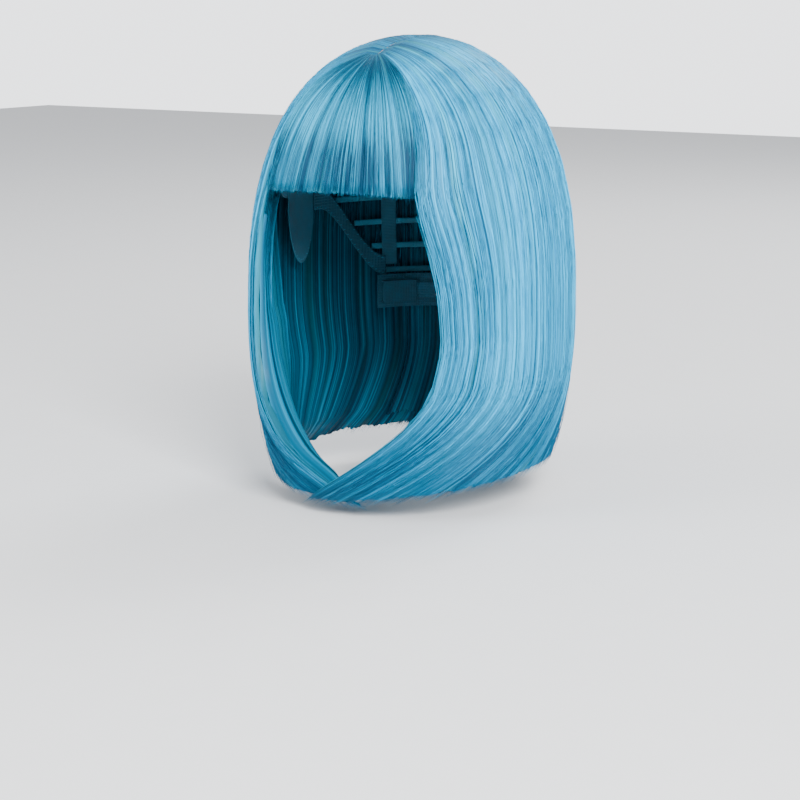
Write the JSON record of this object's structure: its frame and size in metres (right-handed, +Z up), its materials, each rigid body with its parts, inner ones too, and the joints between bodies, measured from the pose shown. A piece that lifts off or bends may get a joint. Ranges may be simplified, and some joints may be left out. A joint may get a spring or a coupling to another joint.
{
  "type": "costume wig",
  "caption": "Straight sky-blue bob wig with a full fringe, sewn on a net cap with ear tabs, nape adjusters and comb clips.",
  "frame": {"origin": "middle of the head's circumference plane, just above the brows, where the cap sits on a head", "axes": "+Z up through the crown, the face opening towards -Y, the wearer's left towards +X"},
  "size_m": [0.1958, 0.2195, 0.2804],
  "materials": {
    "hair": "silky synthetic fibre, straight, satin sheen",
    "under_hair": "the same fibre in the shaded under layers",
    "skin": "matt flesh-toned parting skin",
    "net": "stretch rose net",
    "ribbon": "woven ribbon",
    "weft": "machine-sewn weft tracks",
    "lining": "soft brushed lining",
    "elastic": "ribbed elastic",
    "strap": "flat braided elastic strap",
    "clear_plastic": "milky moulded plastic",
    "label": "blank satin label",
    "silicone": "soft grip strip",
    "steel": "stamped spring steel"
  },
  "bodies": {
    "cap": {"hair_fringe": "hair", "hair_side_left": "hair", "hair_side_right": "hair", "hair_back": "hair", "hair_under_left": "under_hair", "hair_under_right": "under_hair", "hair_temple_left": "under_hair", "hair_temple_right": "under_hair", "hair_under_back": "under_hair", "hair_nape": "under_hair", "skin_patch": "skin", "skin_backing": "lining", "crown_net": "net", "front_band": "lining", "size_label": "label", "ear_tab_left": "lining", "ear_tab_right": "lining", "ear_stay_left": "clear_plastic", "ear_stay_right": "clear_plastic", "side_band_left": "elastic", "side_band_right": "elastic", "nape_band": "elastic", "ribbon_centre": "ribbon", "ribbon_back_left": "ribbon", "ribbon_back_right": "ribbon", "ribbon_side_left": "ribbon", "ribbon_side_right": "ribbon", "weft_row_1": "weft", "weft_row_2": "weft", "weft_row_3": "weft", "weft_row_4": "weft", "weft_row_5": "weft", "weft_row_6": "weft", "weft_row_7": "weft", "weft_row_8": "weft", "strap_channel_left": "elastic", "strap_channel_right": "elastic", "loop_row_left": "elastic", "loop_row_right": "elastic", "clip_base_left": "steel", "clip_base_right": "steel", "clip_rivets_left": "steel", "clip_rivets_right": "steel", "clip_grip_left": "silicone", "clip_grip_right": "silicone"},
    "adjuster_left": {"strap_left": "strap", "strap_hook_left": "clear_plastic"},
    "adjuster_right": {"strap_right": "strap", "strap_hook_right": "clear_plastic"},
    "comb_left": {"clip_comb_left": "steel"},
    "comb_right": {"clip_comb_right": "steel"}
  },
  "joints": [
    {"name": "adjuster_left_draw", "type": "hinge", "parent": "cap", "child": "adjuster_left", "pos_m": [0, 0.03, -0.061], "axis": [0, 0, 1], "range_deg": [0, 18]},
    {"name": "adjuster_right_draw", "type": "hinge", "parent": "cap", "child": "adjuster_right", "pos_m": [0, 0.03, -0.061], "axis": [0, 0, -1], "range_deg": [0, 18]},
    {"name": "comb_left_snap", "type": "hinge", "parent": "cap", "child": "comb_left", "pos_m": [0.0595, -0.041, 0.027], "axis": [0.4384, 0.8988, 0], "range_deg": [0, 40]},
    {"name": "comb_right_snap", "type": "hinge", "parent": "cap", "child": "comb_right", "pos_m": [-0.0595, -0.041, 0.027], "axis": [0.4384, -0.8988, 0], "range_deg": [0, 40]}
  ]
}
